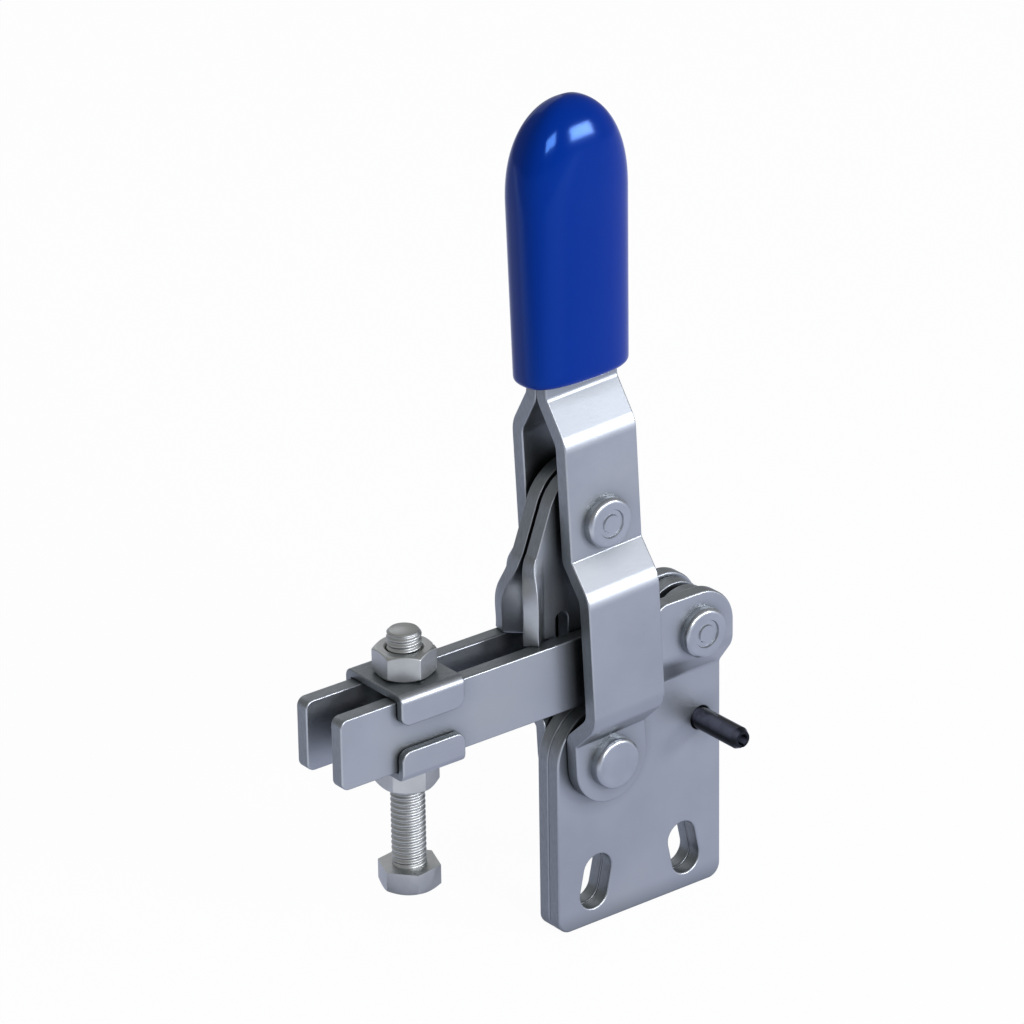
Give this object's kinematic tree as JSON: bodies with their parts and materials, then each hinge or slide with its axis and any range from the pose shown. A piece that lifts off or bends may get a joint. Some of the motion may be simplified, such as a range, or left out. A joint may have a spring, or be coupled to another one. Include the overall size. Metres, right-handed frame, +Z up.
{
  "type": "toggle clamp",
  "caption": "Vertical-handle toggle clamp with a straight base, twin arm bars, a linked handle with a dipped grip and an adjustable hexagon-head spindle.",
  "frame": {"origin": "centre of the two mounting slots, midway between the two base plates", "axes": "+Z up along the handle, +X from the spindle towards the stop pin, +Y across the clamp through the slots"},
  "size_m": [0.0835, 0.0278, 0.1516],
  "materials": {
    "zinc_plate": "zinc-plated pressed sheet, satin",
    "zinc_turned": "zinc-plated, formed",
    "zinc_fastener": "zinc-plated fastener",
    "black_spring_steel": "black oiled spring steel",
    "blue_grip": "glossy dipped vinyl"
  },
  "bodies": {
    "base": {"base_plate_near": "zinc_plate", "base_plate_far": "zinc_plate", "stop_pin": "black_spring_steel", "arm_pivot_rivet": "zinc_turned", "handle_pivot_rivet": "zinc_turned"},
    "arm": {"arm_bar_near": "zinc_plate", "arm_bar_far": "zinc_plate", "arm_spacer": "zinc_turned", "link_lower_rivet": "zinc_turned"},
    "link": {"link_plate_near": "zinc_plate", "link_plate_far": "zinc_plate", "link_spacer": "zinc_turned"},
    "handle": {"handle_plate_near": "zinc_plate", "handle_plate_far": "zinc_plate", "handle_grip": "blue_grip", "link_upper_rivet": "zinc_turned", "link_washer_near": "zinc_turned", "link_washer_far": "zinc_turned"},
    "holder": {"upper_flanged_washer": "zinc_plate", "lower_flanged_washer": "zinc_plate", "upper_nut": "zinc_fastener", "lower_nut": "zinc_fastener"},
    "spindle": {"spindle_bolt": "zinc_fastener"}
  },
  "joints": [
    {"name": "handle_swing", "type": "hinge", "parent": "base", "child": "handle", "pos_m": [-0.0083, 0, 0.02385], "axis": [0, 1, 0], "range_deg": [0, 65]},
    {"name": "arm_swing", "type": "hinge", "parent": "base", "child": "arm", "pos_m": [0.0107, 0, 0.04275], "axis": [0, 1, 0], "range_deg": [0, 92.4]},
    {"name": "link_swing", "type": "hinge", "parent": "arm", "child": "link", "pos_m": [-0.00928, 0, 0.04294], "axis": [0, 1, 0], "range_deg": [0, 40.5]},
    {"name": "holder_slide", "type": "slide", "parent": "arm", "child": "holder", "axis": [1, 0, 0], "range_m": [-0.011, 0.015]},
    {"name": "spindle_height", "type": "slide", "parent": "holder", "child": "spindle", "axis": [0, 0, 1], "range_m": [-0.003, 0.014]}
  ],
  "couplings": [
    {"joint": "arm_swing", "follows": "handle_swing", "ratio": 1.421},
    {"joint": "link_swing", "follows": "handle_swing", "ratio": 0.62287}
  ]
}
